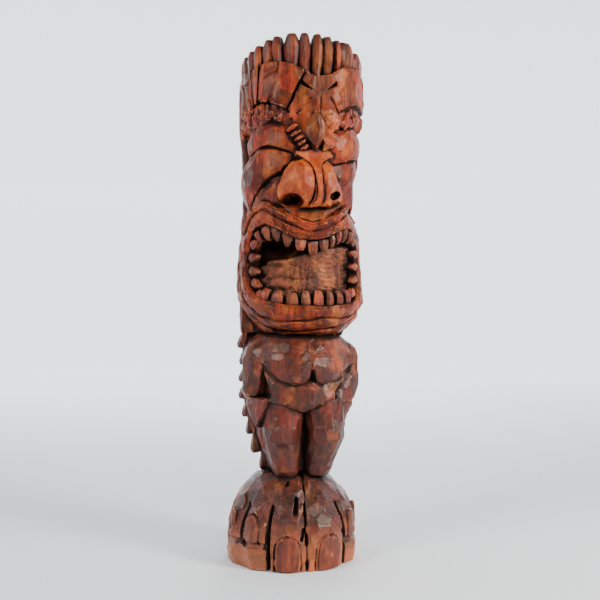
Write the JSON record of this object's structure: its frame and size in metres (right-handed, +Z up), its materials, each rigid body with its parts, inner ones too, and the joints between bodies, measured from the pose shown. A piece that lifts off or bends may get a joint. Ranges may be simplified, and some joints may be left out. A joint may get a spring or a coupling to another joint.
{
  "type": "tiki figure",
  "caption": "Standing carved wooden tiki figure with a leaf crown, open toothed mouth, arms at its sides and huge feet.",
  "frame": {"origin": "on the ground, under the middle of the whole figure's box", "axes": "+Z up the log, -Y the way the figure faces, +X towards the figure's own left"},
  "size_m": [0.2704, 0.277, 1],
  "materials": {
    "nose_wood": "satin varnish, rubbed orange",
    "brow_wood": "satin varnish, deeply cut and stained",
    "face_wood": "satin varnish, orange brown",
    "tooth_wood": "satin varnish, lighter wood",
    "tongue_wood": "satin varnish, rough chiselled",
    "dark_wood": "satin varnish, dark stain in the cuts",
    "hair_wood": "satin varnish, deeply cut",
    "crown_wood": "satin varnish, singed tips",
    "body_wood": "satin varnish, red brown",
    "foot_wood": "satin varnish, grey brown",
    "nail_wood": "satin varnish, smooth"
  },
  "bodies": {
    "root": {"arm_left": "body_wood", "arm_right": "body_wood", "back_column": "hair_wood", "belly": "body_wood", "bridge_knuckles": "brow_wood", "brow_left": "brow_wood", "brow_right": "brow_wood", "cheek_left": "face_wood", "cheek_right": "face_wood", "chest_left": "body_wood", "chest_right": "body_wood", "chin_fold_lower": "face_wood", "chin_fold_upper": "face_wood", "crown_back": "crown_wood", "crown_cap": "crown_wood", "crown_front": "crown_wood", "crown_left": "crown_wood", "crown_right": "crown_wood", "eyelid_left": "face_wood", "eyelid_right": "face_wood", "foot_left": "foot_wood", "foot_right": "foot_wood", "forehead_centre": "face_wood", "forehead_lozenge": "face_wood", "forehead_plate_left": "face_wood", "forehead_plate_right": "face_wood", "hair_back": "hair_wood", "hair_left": "hair_wood", "hair_right": "hair_wood", "hand_left": "body_wood", "hand_right": "body_wood", "head_core": "dark_wood", "jaw_core": "dark_wood", "jowl_left": "face_wood", "jowl_right": "face_wood", "leg_left": "body_wood", "leg_right": "body_wood", "lip_corner_left": "face_wood", "lip_corner_right": "face_wood", "lower_lip": "face_wood", "mane_back": "hair_wood", "mane_cape": "hair_wood", "mane_left": "hair_wood", "mane_right": "hair_wood", "muzzle": "face_wood", "nape": "hair_wood", "neck_plate": "dark_wood", "nose_strip": "nose_wood", "nose_wing_left": "nose_wood", "nose_wing_right": "nose_wood", "teeth_lower": "tooth_wood", "teeth_sides": "tooth_wood", "teeth_upper": "tooth_wood", "toenails_left": "nail_wood", "toenails_right": "nail_wood", "tongue": "tongue_wood", "upper_lip_centre": "face_wood", "upper_lip_left": "face_wood", "upper_lip_right": "face_wood"}
  },
  "joints": []
}
